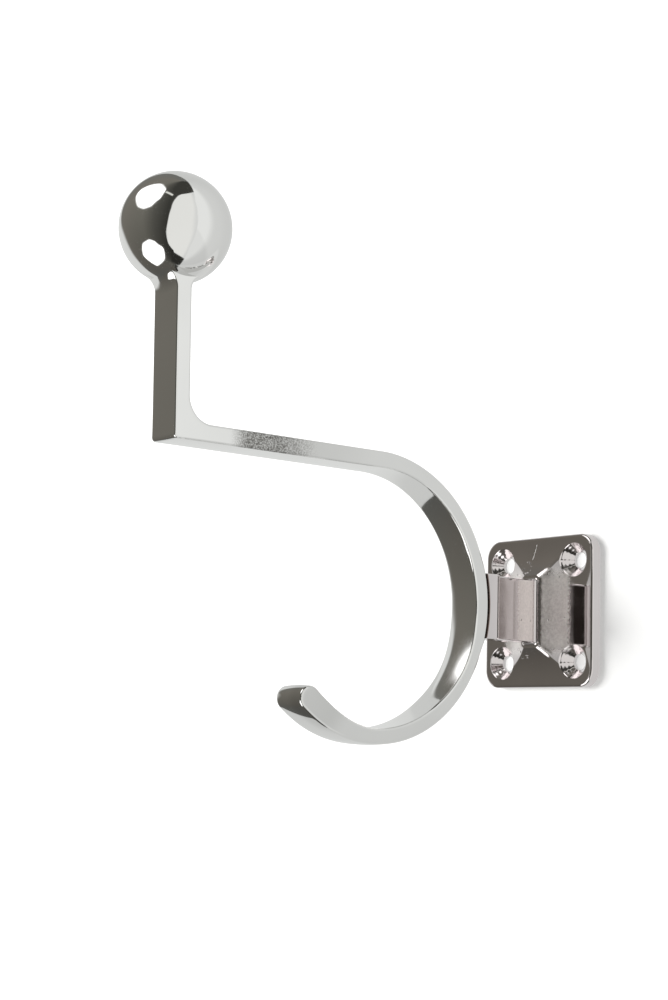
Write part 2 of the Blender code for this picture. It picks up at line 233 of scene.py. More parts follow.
# How bright the metal sees the wall: two places along an axis, then the tones there, if not 0 and 1
WALL_RIGHT_X = (0.09, 0.19, 0.95, 1.17)
WALL_BESIDE_X = (0.034, 0.026, 0.0, 0.09)
WALL_BESIDE_Z = (0.045, 0.030)
WALL_LEFT_X = (0.09, -0.06, 0.0, 0.09)
WALL_LOW_Z = (0.0, -0.04, 0.0, 0.09)

# Dome that only the metal sees, with its middle to the right of the hook
STUDIO_RADIUS = 0.75
STUDIO_SHIFT = 0.28
STUDIO_SEGMENTS = 96
STUDIO_RINGS = 48
PALE = (0.95, 0.955, 0.93, 1)
PALE_WALL = (0.82, 0.83, 0.82, 1)
PALE_WALL_RIGHT = (87.0, 97.0)
PALE_WALL_LEFT = (0.0, -30.0)

# Edges of the dark room in front of the hook, as (elevation, azimuth) pairs in degrees, and their softness
DARK_RIGHT = [(-90, 180), (-74, 150), (-68, 84), (-62, 58), (-57, 50), (-39, 36), (-24, 35), (5, 39.5),
              (24, 43), (47, 50), (56, 60), (60, 78), (65, 112), (71, 180), (90, 180)]
DARK_LEFT = [(-90, -180), (-70, -150), (-50, -116), (-42, -111), (-33, -106), (-22, -76), (-7, -65),
             (2, -63), (12, -65.5), (21, -74), (33, -90), (51, -111), (64, -137), (70, -180), (90, -180)]
DARK_RIGHT_EDGE = (-0.8, 0.8)
DARK_LEFT_EDGE = (-4.0, 6.0)

# Tones of the dark room by azimuth in degrees, and how they rise with the elevation
DARK_TONES = [(-100, (0.15, 0.15, 0.14)), (-78, (0.16, 0.155, 0.14)), (-60, (0.17, 0.16, 0.14)),
              (-10, (0.155, 0.15, 0.13)), (14, (0.085, 0.083, 0.073)), (38, (0.042, 0.042, 0.037))]
DARK_TONE_SPAN = (-100, 60)
DARK_RISE = (-45.0, 40.0, 0.7, 1.25)

# Bright patches on the dome: corners as (azimuth, elevation) pairs in degrees, softness and colour
BRIGHT = (2.2, 2.2, 2.2, 1)
STREAK = (0.9, 0.9, 0.85, 1)
SOFT_LAMPS = [
    ([(-73, 60), (-53, 44), (-27, 32), (-11, 28), (3, 31), (16, 45), (17, 58), (13, 66), (0, 72), (-23, 69)],
     0.035, BRIGHT),
    ([(-58, -54), (-40, -63), (-16, -66), (2, -63), (14, -55), (18, -47), (5, -28), (-5, -21), (-24, -20),
      (-45, -30)], 0.03, BRIGHT),
    ([(19, 57), (41, 52), (43, 55), (21, 60)], 0.012, STREAK),
]

# Cards beside the camera that plate and neck mirror in their corner, as name, place, width and tone
CARD_HEIGHT = 0.056
CARDS = [("dark", (0.3221, -0.3629, 0.036), 0.066, (0.03, 0.026, 0.023, 1)),
         ("grey", (0.3611, -0.3248, 0.036), 0.010, (0.44, 0.42, 0.40, 1))]

# Soft lamp that casts the plate's shadow; its direction is an azimuth and an elevation in degrees
LAMP_DIRECTION = (-46, 10)
LAMP_DISTANCE = 1.2
LAMP_SIZE = 0.7
LAMP_POWER = 18.0

# Camera, fitted to the photograph
CAMERA_PLACE = (0.342866, -0.342633, -0.034787)
CAMERA_YAW = math.radians(51.743)
CAMERA_PITCH = math.radians(7.529)
CAMERA_ROLL = math.radians(1.424)
CAMERA_LENS = 65.30
CAMERA_CLIP = 0.01

# How finely round shapes are divided, several times finer than the solids
CORNER_STEPS = 12
FACE_STEPS = 10
SIDE_STEPS = 3
COVE_STEPS = 28
FILLET_STEPS = 18
BEND_STEP = math.radians(1.5)
ELBOW_STEPS = 48
ELBOW_CROWDING = 1.8
KNOB_RINGS = 48
TURNED_STEPS = 128
SADDLE_STEPS = 720
SHARP_ANGLE = math.radians(25)
FLAT_FACE_WEIGHT = 50
MERGE_DISTANCE = 0.000001
CUT_MARGIN = 0.001

# Sizes that follow from the ones above
boss_reach = PLATE_THICKNESS + BOSS_RISE
strap_half = STRAP_THICKNESS / 2 + STRAP_SWELL
bend_outer = BEND_RADIUS + strap_half
bend_inner = BEND_RADIUS - strap_half
bend_reach = NECK_REACH + BEND_RADIUS + STRAP_THICKNESS / 2
saddle_radius = bend_outer + SADDLE_GAP
wall_hole_offset = PLATE_SIDE / 2 - WALL_HOLE_INSET
clamp_hole_radius = CLAMP_SCREW_DIAMETER / 2 + SEAT_GAP
head_seat_reach = CLAMP_HEAD_RECESS + CLAMP_HEAD_HEIGHT
washer_reach = head_seat_reach + SEAT_GAP
counterbore_depth = washer_reach + WASHER_THICKNESS + SEAT_GAP
counterbore_radius = max(CLAMP_HEAD_DIAMETER, WASHER_DIAMETER) / 2 + SEAT_GAP
tapped_end_reach = NECK_REACH + STRAP_THICKNESS - TAPPED_HOLE_FLOOR


def point(across, reach, height):
    """A place given by its distance to the right, out from the wall, and up."""
    return Vector((across, -reach, height))


def steps(count):
    """Shares from 0 to 1, both included."""
    return [index / count for index in range(count + 1)]


def smooth_step(share):
    """A share from 0 to 1 that starts and ends gently."""
    share = min(max(share, 0.0), 1.0)
    return share * share * (3 - 2 * share)


def loft(name, rings, cap_first=False, cap_last=False):
    """A closed body through rings of equally many points; a ring that is a point or a line closes itself."""
    shape = bmesh.new()
    rows = [[shape.verts.new(place) for place in ring] for ring in rings]
    count = len(rings[0])
    for row, following in zip(rows, rows[1:]):
        for index in range(count):
            beyond = (index + 1) % count
            shape.faces.new((row[index], row[beyond], following[beyond], following[index]))
    if cap_first:
        shape.faces.new(rows[0])
    if cap_last:
        shape.faces.new(rows[-1])
    bmesh.ops.remove_doubles(shape, verts=shape.verts[:], dist=MERGE_DISTANCE)
    bmesh.ops.recalc_face_normals(shape, faces=shape.faces[:])
    mesh = bpy.data.meshes.new(name)
    shape.to_mesh(mesh)
    shape.free()
    mesh.shade_smooth()
    body = bpy.data.objects.new(name, mesh)
    bpy.context.scene.collection.objects.link(body)
    return body


def turned(name, profile, across, height):
    """A body turned about an axis that runs out from the wall, from (radius, reach) pairs."""
    rings = []
    for radius, reach in profile:
        ring = []
        for index in range(TURNED_STEPS):
            angle = 2 * math.pi * (index + 0.5) / TURNED_STEPS
            ring.append(point(across + radius * math.sin(angle), reach, height + radius * math.cos(angle)))
        rings.append(ring)
    return loft(name, rings, cap_first=True, cap_last=True)


def settle(body):
    """Put the result of a body's modifiers in place of its mesh."""
    graph = bpy.context.evaluated_depsgraph_get()
    mesh = bpy.data.meshes.new_from_object(body.evaluated_get(graph), depsgraph=graph)
    body.modifiers.clear()
    body.data = mesh


def cut(body, cutters):
    """Take the cutters' shapes out of the body, then remove the cutters."""
    for cutter in cutters:
        modifier = body.modifiers.new(cutter.name, "BOOLEAN")
        modifier.operation = "DIFFERENCE"
        modifier.solver = "EXACT"
        modifier.object = cutter
    settle(body)
    for cutter in cutters:
        bpy.data.objects.remove(cutter, do_unlink=True)


def polish(body):
    """Smooth shading that keeps flat faces flat beside their round edges."""
    body.data.shade_smooth()
    body.data.set_sharp_from_angle(angle=SHARP_ANGLE)
    modifier = body.modifiers.new("flat_faces", "WEIGHTED_NORMAL")
    modifier.mode = "FACE_AREA"
    modifier.weight = FLAT_FACE_WEIGHT
    modifier.keep_sharp = True
    settle(body)


def mirrored_ring(quarter):
    """Repeat a quarter outline, from the top middle to the right middle, all the way round."""
    lower_right = [(across, -up) for across, up in reversed(quarter)][1:]
    lower_left = [(-across, -up) for across, up in quarter][1:]
    upper_left = [(-across, up) for across, up in reversed(quarter)][1:-1]
    return quarter + lower_right + lower_left + upper_left


def plate_ring(half_width, half_height, radius, reach):
    """A rectangle with round corners, parallel to the wall."""
    quarter = [(0.0, half_height)]
    for share in steps(CORNER_STEPS):
        angle = share * math.pi / 2
        across = half_width - radius + radius * math.sin(angle)
        quarter.append((across, half_height - radius + radius * math.cos(angle)))
    quarter.append((half_width, 0.0))
    return [point(across, reach, up) for across, up in mirrored_ring(quarter)]


def plate_rings():
    """The plate's back, edge and front rim."""
    half = PLATE_SIDE / 2
    rings = []
    for inset, reach in ((PLATE_BACK_BREAK, 0.0), (0.0, PLATE_BACK_BREAK)):
        rings.append(plate_ring(half - inset, half - inset, PLATE_CORNER_RADIUS - inset, reach))
    for share in steps(CORNER_STEPS):
        angle = share * math.pi / 2
        inset = PLATE_FRONT_ROUND * (1 - math.cos(angle))
        reach = PLATE_THICKNESS - PLATE_FRONT_ROUND * (1 - math.sin(angle))
        rings.append(plate_ring(half - inset, half - inset, PLATE_CORNER_RADIUS - inset, reach))
    return rings


def boss_rings():
    """The coved sides of the boss, from the plate's front up to the ledge round the neck."""
    foot_width = PLATE_SIDE / 2 - BOSS_SIDE_MARGIN
    foot_height = PLATE_SIDE / 2 - BOSS_END_MARGIN
    top_width = NECK_WEB_THICKNESS / 2 + NECK_BASE_FILLET + BOSS_SIDE_LEDGE
    top_height = NECK_HEIGHT / 2 + NECK_BASE_FILLET + BOSS_END_LEDGE
    rings = []
    for share in steps(COVE_STEPS):
        half_width = foot_width + (top_width - foot_width) * share
        half_height = foot_height + (top_height - foot_height) * share
        hip = BOSS_HIP_ROUND + (BOSS_HIP_ROUND_TOP - BOSS_HIP_ROUND) * share
        reach = PLATE_THICKNESS + BOSS_RISE * share ** BOSS_COVE_POWER
        rings.append(plate_ring(half_width, half_height, hip, reach))
    return rings


def neck_profile():
    """Half widths of the neck's web, scotia, shoulder and collar, as (half width, reach) pairs."""
    web = NECK_WEB_THICKNESS / 2
    mouth = NECK_MOUTH_WIDTH / 2
    radii = NECK_SCOTIA_RADIUS + NECK_SHOULDER_RADIUS
    sweep = math.acos(1 - (mouth - web) / radii)
    collar_reach = NECK_REACH - NECK_COLLAR
    scotia_reach = collar_reach - radii * math.sin(sweep)
    profile = []
    for share in steps(FILLET_STEPS):
        angle = share * sweep
        half_width = web + NECK_SCOTIA_RADIUS * (1 - math.cos(angle))
        profile.append((half_width, scotia_reach + NECK_SCOTIA_RADIUS * math.sin(angle)))
    for share in steps(FILLET_STEPS)[1:]:
        angle = (1 - share) * sweep
        half_width = mouth - NECK_SHOULDER_RADIUS * (1 - math.cos(angle))
        profile.append((half_width, collar_reach - NECK_SHOULDER_RADIUS * math.sin(angle)))
    return profile


def neck_rings():
    """The neck, from its fillet on the boss to past the saddle that its mouth is cut to."""
    half_height = NECK_HEIGHT / 2
    rings = []
    for share in steps(CORNER_STEPS):
        angle = share * math.pi / 2
        flare = NECK_BASE_FILLET * (1 - math.sin(angle))
        reach = boss_reach + NECK_BASE_FILLET * (1 - math.cos(angle))
        half_width = NECK_WEB_THICKNESS / 2 + flare
        rings.append(plate_ring(half_width, half_height + flare, NECK_EDGE_ROUND + flare, reach))
    for half_width, reach in neck_profile():
        rings.append(plate_ring(half_width, half_height, NECK_EDGE_ROUND, reach))
    saddle_depth = saddle_radius - math.sqrt(saddle_radius ** 2 - half_height ** 2)
    mouth_reach = NECK_REACH + saddle_depth + CUT_MARGIN
    rings.append(plate_ring(NECK_MOUTH_WIDTH / 2, half_height, NECK_EDGE_ROUND, mouth_reach))
    return rings


def saddle_cutter():
    """A round bar across the neck that follows the back of the bend at the saddle gap."""
    half_length = NECK_MOUTH_WIDTH
    rings = []
    for across in (-half_length, half_length):
        ring = []
        for index in range(SADDLE_STEPS):
            angle = 2 * math.pi * (index + 0.5) / SADDLE_STEPS
            reach = bend_reach + saddle_radius * math.cos(angle)
            ring.append(point(across, reach, saddle_radius * math.sin(angle)))
        rings.append(ring)
    return loft("saddle_cutter", rings, cap_first=True, cap_last=True)


def wall_hole_cutter(name, across, height):
    """A bore through the plate with a cone that opens to the front."""
    bore = WALL_HOLE_DIAMETER / 2
    mouth = bore + (boss_reach - WALL_HOLE_LAND) * math.tan(COUNTERSINK_HALF_ANGLE)
    profile = [(bore, -CUT_MARGIN), (bore, WALL_HOLE_LAND), (mouth, boss_reach)]
    return turned(name, profile, across, height)


def clamp_hole_cutter(name, height):
    """A counterbore in the plate's back and a clear hole along the neck."""
    profile = [
        (counterbore_radius, -CUT_MARGIN),
        (counterbore_radius, counterbore_depth),
        (clamp_hole_radius, counterbore_depth),
        (clamp_hole_radius, bend_reach),
    ]
    return turned(name, profile, 0.0, height)


def clamp_levels():
    """Names and heights of the two clamp screws."""
    return (("upper", CLAMP_SPACING / 2), ("lower", -CLAMP_SPACING / 2))


def make_plate():
    """The plate, its boss and the neck, in one casting."""
    rings = plate_rings() + boss_rings() + neck_rings()
    plate = loft("coved_plate", rings, cap_first=True, cap_last=True)
    cutters = [saddle_cutter()]
    for side, across in (("left", -wall_hole_offset), ("right", wall_hole_offset)):
        for level, height in (("upper", wall_hole_offset), ("lower", -wall_hole_offset)):
            cutters.append(wall_hole_cutter(f"{level}_{side}_wall_hole", across, height))
    for level, height in clamp_levels():
        cutters.append(clamp_hole_cutter(f"{level}_clamp_hole", height))
    cut(plate, cutters)
    polish(plate)
    return plate


def crowned_quarter(half_thickness, crown, edge_round):
    """A quarter of the strap's section, from the middle of a crowned face to the middle of the side."""
    half_width = STRAP_WIDTH / 2
    flat = half_width - edge_round
    quarter = []
    for share in steps(FACE_STEPS)[:-1]:
        across = flat * share
        quarter.append((across, half_thickness - crown * (across / half_width) ** 2))
    for share in steps(CORNER_STEPS):
        angle = share * math.pi / 2
        across = flat + edge_round * math.sin(angle)
        edge = edge_round * (1 - math.cos(angle))
        quarter.append((across, half_thickness - crown * (across / half_width) ** 2 - edge))
    for share in steps(SIDE_STEPS)[1:]:
        quarter.append((half_width, (half_thickness - crown - edge_round) * (1 - share)))
    return quarter


def strap_section(half_thickness, crown=ARM_CROWN, facet=0.0, seat=0.0):
    """(across, out) pairs round the strap; facet crowns the out face more, seat flattens the other one."""
    inner = crowned_quarter(half_thickness, crown + FACET_CROWN * facet, STRAP_EDGE_ROUND)
    outer = crowned_quarter(half_thickness, crown * (1 - seat),
                            STRAP_EDGE_ROUND + (SEAT_EDGE_ROUND - STRAP_EDGE_ROUND) * seat)
    outer_right = [(across, -out) for across, out in reversed(outer)][1:]
    outer_left = [(-across, -out) for across, out in outer][1:]
    inner_left = [(-across, out) for across, out in reversed(inner)][1:-1]
    return inner + outer_right + outer_left + inner_left


def strap_ring(centre, outward, section, nose=0.0):
    """A ring of the strap about a (reach, height) centre; nose is its turn into the round end."""
    forward = (outward[1], -outward[0])
    ring = []
    for across, out in section:
        aside = out * math.cos(nose)
        along = abs(out) * math.sin(nose)
        reach = centre[0] + outward[0] * aside + forward[0] * along
        height = centre[1] + outward[1] * aside + forward[1] * along
        ring.append(point(across, reach, height))
    return ring


def fillet_place(across, out, share):
    """A place on the fillet between the upright and the ball, at a fixed distance across."""
    knob_radius = math.sqrt((KNOB_DIAMETER / 2) ** 2 - across ** 2)
    centre_out = out + KNOB_FILLET
    drop = math.sqrt((knob_radius + KNOB_FILLET) ** 2 - centre_out ** 2)
    angle = share * math.atan2(drop, centre_out)
    place_out = centre_out - KNOB_FILLET * math.cos(angle)
    return place_out, KNOB_HEIGHT - drop + KNOB_FILLET * math.sin(angle)


def knob_underside(across, out):
    """The height of the ball's underside."""
    return KNOB_HEIGHT - math.sqrt((KNOB_DIAMETER / 2) ** 2 - across ** 2 - out ** 2)


def fillet_ring(share):
    """A ring between the upright and the ball; the flat sides run straight up into the ball."""
    edge_out = strap_half - ARM_CROWN - STRAP_EDGE_ROUND
    ring = []
    for across, out in strap_section(strap_half):
        on_side = abs(out) < edge_out - MERGE_DISTANCE
        start = edge_out if on_side else abs(out)
        place_out, height = fillet_place(across, start, share)
        if on_side:
            rim = knob_underside(across, fillet_place(across, start, 1.0)[0])
            place_out *= abs(out) / edge_out
            rim_out = fillet_place(across, start, 1.0)[0] * abs(out) / edge_out
            height += share * (knob_underside(across, rim_out) - rim)
        ring.append(point(across, STEM_REACH + math.copysign(place_out, out), height))
    return ring


def knob_rings():
    """Rings over the ball, from its top down to the rim of the fillet."""
    centre = point(0.0, STEM_REACH, KNOB_HEIGHT)
    rim = fillet_ring(1.0)
    count = len(rim)
    rings = []
    for share in steps(KNOB_RINGS):
        ring = []
        for index, place in enumerate(rim):
            offset = (place - centre).normalized()
            even = 2 * math.pi * index / count
            turn = math.atan2(offset.x, -offset.y) % (2 * math.pi)
            turn = even + (turn - even) * smooth_step(2 * share - 1)
            rise = share * math.acos(offset.z)
            level = math.sin(rise) * KNOB_DIAMETER / 2
            ring.append(centre + point(level * math.sin(turn), level * math.cos(turn),
                                       math.cos(rise) * KNOB_DIAMETER / 2))
        rings.append(ring)
    return rings


def elbow_rings():
    """The bend from upright to arm: a fillet inside and a nearly sharp corner outside."""
    arm_height = BEND_RADIUS
    pivot_reach = STEM_REACH - strap_half - ELBOW_INNER_RADIUS
    pivot_height = arm_height + strap_half + ELBOW_INNER_RADIUS
    wall = ELBOW_INNER_RADIUS + 2 * strap_half
    soft = wall - ELBOW_OUTER_RADIUS
    rings = []
    for share in steps(ELBOW_STEPS):
        lean = 2 * share - 1
        angle = math.pi / 4 * (1 + math.copysign(abs(lean) ** ELBOW_CROWDING, lean))
        direction = (math.cos(angle), -math.sin(angle))
        far = wall / max(direction[0], -direction[1])
        middle = soft * (direction[0] - direction[1])
        spread = middle ** 2 - 2 * soft ** 2 + ELBOW_OUTER_RADIUS ** 2
        if min(direction[0], -direction[1]) * far > soft:
            far = middle + math.sqrt(spread)
        half = (far - ELBOW_INNER_RADIUS) / 2
        out = ELBOW_INNER_RADIUS + half
        centre = (pivot_reach + direction[0] * out, pivot_height + direction[1] * out)
        rings.append(strap_ring(centre, direction, strap_section(half)))
    return rings


def bend_ring(turn, outer, inner, nose=0.0):
    """One ring of the C at a turn from its top; nose is its turn into the round end."""
    middle = (outer + inner) / 2
    half = (outer - inner) / 2
    inward = (math.sin(turn), -math.cos(turn))
    centre = (bend_reach - inward[0] * middle, -inward[1] * middle)
    facet = smooth_step(1 - abs(turn - FACET_TURN) / FACET_SPREAD)
    seat = smooth_step((SEAT_SPREAD - abs(turn - math.pi / 2)) / SEAT_FADE)
    crown = ARM_CROWN + (FACE_CROWN - ARM_CROWN) * smooth_step(turn / CROWN_FADE)
    return strap_ring(centre, inward, strap_section(half, crown, facet, seat), nose)


def bend_rings():
    """The C from the arm's end, round the back and under, to the swollen lower tip and its round nose."""
    total = math.pi + TIP_SWEEP
    count = round(total / BEND_STEP)
    rings = []
    for share in steps(count):
        turn = share * total
        outer = bend_outer - TIP_TAPER_OUTSIDE * smooth_step((turn - total) / TIP_TAPER_SWEEP + 1)
        inner = bend_inner - TIP_SWELL_INSIDE * smooth_step((turn - total) / TIP_SWEEP + 1)
        rings.append(bend_ring(turn, outer, inner))
    for share in steps(FILLET_STEPS)[1:]:
        rings.append(bend_ring(total, outer, inner, share * math.pi / 2))
    return rings


def leaned(place):
    """A place on the hook after the upright is leant slightly out, from its lower corner to the ball."""
    near = smooth_step((-place.y - LEAN_START_REACH) / (LEAN_FULL_REACH - LEAN_START_REACH))
    stem_top = KNOB_HEIGHT - KNOB_DIAMETER / 2
    share = min(max((place.z - BEND_RADIUS) / (stem_top - BEND_RADIUS), 0.0), 1.0)
    return place + point(0.0, near * (share * (CORNER_INWARD + KNOB_OUTWARD) - CORNER_INWARD), 0.0)


def make_hook():
    """Ball, upright, arm and C, in one casting, with two tapped holes in the back of the C."""
    rings = knob_rings()
    rings += [fillet_ring(share) for share in reversed(steps(FILLET_STEPS)[:-1])]
    rings += elbow_rings() + bend_rings()
    hook = loft("polished_hook", [[leaned(place) for place in ring] for ring in rings])
    cutters = []
    for level, height in clamp_levels():
        profile = [(clamp_hole_radius, NECK_REACH - CUT_MARGIN), (clamp_hole_radius, tapped_end_reach)]
        cutters.append(turned(f"{level}_tapped_hole", profile, 0.0, height))
    cut(hook, cutters)
    polish(hook)
    return hook


def add(tree, kind, inputs=None, **settings):
    """A node with its settings and inputs; an input is a value or another node's output."""
    made = tree.nodes.new(kind)
    for key, value in settings.items():
        setattr(made, key, value)
    for key, value in (inputs or {}).items():
        if isinstance(value, bpy.types.NodeSocket):
            tree.links.new(value, made.inputs[key])
        else:
            made.inputs[key].default_value = value
    return made


def calculate(tree, operation, first, second=0.0):
    """The result of a sum on one or two numbers."""
    return add(tree, "ShaderNodeMath", {0: first, 1: second}, operation=operation).outputs[0]


def multiply(tree, first, *others):
    """The product of two or more numbers."""
    for other in others:
        first = calculate(tree, "MULTIPLY", first, other)
    return first


def total(tree, first, *others):
    """Two or more numbers added up."""
    for other in others:
        first = calculate(tree, "ADD", first, other)
    return first


def largest(tree, first, *others):
    """The largest of two or more numbers."""
    for other in others:
        first = calculate(tree, "MAXIMUM", first, other)
    return first


def combine(tree, operation, first, second=(0, 0, 0)):
    """The vector that comes from a sum on one or two vectors."""
    return add(tree, "ShaderNodeVectorMath", {0: first, 1: second}, operation=operation).outputs["Vector"]


def measure(tree, operation, first, second=(0, 0, 0)):
    """The number that comes from a sum on one or two vectors."""
    return add(tree, "ShaderNodeVectorMath", {0: first, 1: second}, operation=operation).outputs["Value"]


def scaled(tree, vector, factor):
    """A vector or colour times a number."""
    return add(tree, "ShaderNodeVectorMath", {0: vector, "Scale": factor}, operation="SCALE").outputs[0]


def split(tree, vector):
    """The X, Y and Z of a vector."""
    return add(tree, "ShaderNodeSeparateXYZ", {0: vector}).outputs


def even_range(tree, value, start, end, low=0.0, high=1.0):
    """A number that goes evenly from low to high as the value goes from start to end."""
    return add(tree, "ShaderNodeMapRange", {0: value, 1: start, 2: end, 3: low, 4: high}).outputs[0]


def soft_range(tree, value, start, end, low=0.0, high=1.0):
    """A number that goes gently from low to high as the value goes from start to end."""
    made = add(tree, "ShaderNodeMapRange", {0: value, 1: start, 2: end, 3: low, 4: high},
               interpolation_type="SMOOTHSTEP")
    return made.outputs[0]


def noise(tree, place, scale, detail=2.0, roughness=0.5):
    """Cloudy noise between 0 and 1; scale is in features per metre."""
    made = add(tree, "ShaderNodeTexNoise", {"Vector": place, "Scale": scale, "Detail": detail,
                                            "Roughness": roughness})
    return made.outputs[0]


def streaks(tree, place, scales):
    """Noise with its own scale along each axis, in features per metre."""
    stretched = add(tree, "ShaderNodeMapping", {"Vector": place, "Scale": scales}).outputs[0]
    return noise(tree, stretched, 1.0, detail=3.0)


def bumped(tree, height, distance, below=None):
    """A normal tilted by a height map; distance is the height in metres of a full step."""
    inputs = {"Height": height, "Distance": distance}
    if below is not None:
        inputs["Normal"] = below
    return add(tree, "ShaderNodeBump", inputs).outputs[0]


def blend(tree, share, first, second):
    """A colour between two colours."""
    made = add(tree, "ShaderNodeMix", {0: share, 6: first, 7: second}, data_type="RGBA")
    return made.outputs[2]


def patch(tree, place, centre, radii):
    """1 in the inner half of an ellipsoid, fading to 0 at its skin."""
    offset = combine(tree, "SUBTRACT", place, centre)
    distance = measure(tree, "LENGTH", combine(tree, "DIVIDE", offset, radii))
    return soft_range(tree, distance, 1.0, 0.5)


def along_wall(tree, place):
    """A place moved straight back to the wall."""
    return combine(tree, "MULTIPLY", place, (1, 0, 1))


def radius_about(tree, place, centre):
    """The distance from a line that runs out from the wall through a centre."""
    return measure(tree, "LENGTH", along_wall(tree, combine(tree, "SUBTRACT", place, centre)))


def near_line(tree, place, start, end, reach):
    """1 on a straight line along the wall from start to end, and 0 farther from it than reach."""
    along = Vector(end) - Vector(start)
    offset = combine(tree, "SUBTRACT", along_wall(tree, place), start)
    share = measure(tree, "DOT_PRODUCT", offset, along / along.length_squared)
    foot = scaled(tree, along, even_range(tree, share, 0.0, 1.0))
    return soft_range(tree, measure(tree, "DISTANCE", offset, foot), reach, reach / 2)


def metal_material(name):
    """An empty metal material and the place on the object that its patterns follow."""
    material = bpy.data.materials.new(name)
    material.use_nodes = True
    tree = material.node_tree
    shader = tree.nodes["Principled BSDF"]
    shader.inputs["Metallic"].default_value = 1.0
    place = add(tree, "ShaderNodeTexCoord").outputs["Object"]
    return material, tree, shader, place


def finish_metal(tree, shader, colour, roughness, normal):
    """Link a metal's patterns to its shader."""
    tree.links.new(colour, shader.inputs["Base Color"])
    tree.links.new(roughness, shader.inputs["Roughness"])
    tree.links.new(normal, shader.inputs["Normal"])


def chrome():
    """Polished chrome of the hook: faint clouding, buffing lines, cast grain on the arm's side, and painted
    shade there and on the tip.
    """
    material, tree, shader, place = metal_material("polished_chrome")
    parts = split(tree, place)
    on_side = multiply(tree, soft_range(tree, parts["X"], *GRAIN_SIDE_X),
                       soft_range(tree, parts["Y"], *GRAIN_OUTER_Y),
                       soft_range(tree, parts["Z"], *GRAIN_TOP_Z),
                       soft_range(tree, parts["Z"], *GRAIN_BOTTOM_Z))
    uneven = soft_range(tree, noise(tree, place, GRAIN_CLUMP_SCALE), 0.3, 0.6, 0.8, 1.0)
    rough_cast = multiply(tree, on_side, soft_range(tree, parts["Y"], *GRAIN_INNER_Y), uneven)
    grain = noise(tree, place, GRAIN_SCALE, detail=1.0)
    speck = soft_range(tree, grain, 0.70, 0.35, 0.40, 1.0)
    # Painted shade on the arm's right side, growing towards the bend.
    arm_shade = multiply(tree, on_side, soft_range(tree, parts["Y"], *ARM_SHADE_INNER_Y), ARM_SHADE_SHARE)
    # Painted shade on the side of the lower tip.
    tip = multiply(tree, patch(tree, place, *TIP_SHADE), TIP_SHADE_SHARE)
    grey = largest(tree, multiply(tree, rough_cast, speck), arm_shade, tip)
    tone = blend(tree, noise(tree, place, CHROME_CLOUD_SCALE, detail=3.0), *CHROME_TONES)
    # Grey on the cast grain, partly painted shade in its hollows, and painted shade on the arm's side and
    # the tip.
    colour = blend(tree, grey, tone, CAST_GREY_AND_SHADE)
    buffed = streaks(tree, place, CHROME_BUFF_SCALES)
    smudge = noise(tree, place, CHROME_SMUDGE_SCALE, detail=3.0)
    roughness = total(tree, soft_range(tree, buffed, 0.3, 0.8, *CHROME_BUFF_ROUGHNESS),
                      soft_range(tree, smudge, 0.35, 0.75, *CHROME_SMUDGE_ROUGHNESS),
                      multiply(tree, patch(tree, place, *WORN_BEND), WORN_ROUGHNESS),
                      multiply(tree, rough_cast, GRAIN_ROUGHNESS))
    wavy = bumped(tree, noise(tree, place, CHROME_WAVE_SCALE, detail=1.0), CHROME_WAVE_HEIGHT)
    lined = bumped(tree, buffed, BUFF_HEIGHT, wavy)
    grained = bumped(tree, multiply(tree, rough_cast, grain), GRAIN_HEIGHT, lined)
    finish_metal(tree, shader, colour, roughness, grained)
    return material


def cast_skin(tree, sides, mottle):
    """Where the coves keep their casting skin, with a frayed edge, and where their smooth foot is dulled."""
    on_cove = multiply(tree, soft_range(tree, sides["Y"], *SKIN_TOP_REACH),
                       soft_range(tree, sides["Y"], *FRONT_REACH),
                       soft_range(tree, sides["Z"], *SKIN_END_Z))
    frayed = total(tree, sides["X"], soft_range(tree, mottle, 0.2, 0.8, -SKIN_FRAY, SKIN_FRAY))
    skin = multiply(tree, on_cove, soft_range(tree, frayed, *SKIN_OUTER_X),
                    soft_range(tree, sides["X"], *SKIN_INNER_X))
    foot = multiply(tree, on_cove, soft_range(tree, sides["X"], *SKIN_FOOT_X))
    return skin, foot


def casting_pits(tree, place, skin):
    """Pits in the casting: a few on its skin, and clusters beside the neck."""
    chosen = multiply(tree, soft_range(tree, noise(tree, place, PIT_CHOICE_SCALE), 0.60, 0.68), skin)
    for centre, radii in PIT_CLUSTERS:
        chosen = largest(tree, chosen, patch(tree, place, centre, radii))
    cells = add(tree, "ShaderNodeTexVoronoi", {"Vector": place, "Scale": PIT_SCALE}).outputs["Distance"]
    return multiply(tree, soft_range(tree, cells, 0.30, 0.16), chosen)


def seam_edge(tree, place):
    """1 on the edge of the saddle, where it meets the back of the bend."""
    offset = combine(tree, "SUBTRACT", place, point(0.0, bend_reach, 0.0))
    distance = measure(tree, "LENGTH", combine(tree, "MULTIPLY", offset, (0, 1, 1)))
    return soft_range(tree, distance, saddle_radius + SEAM_SHADE_WIDTH, saddle_radius + SEAM_SHADE_WIDTH / 2)


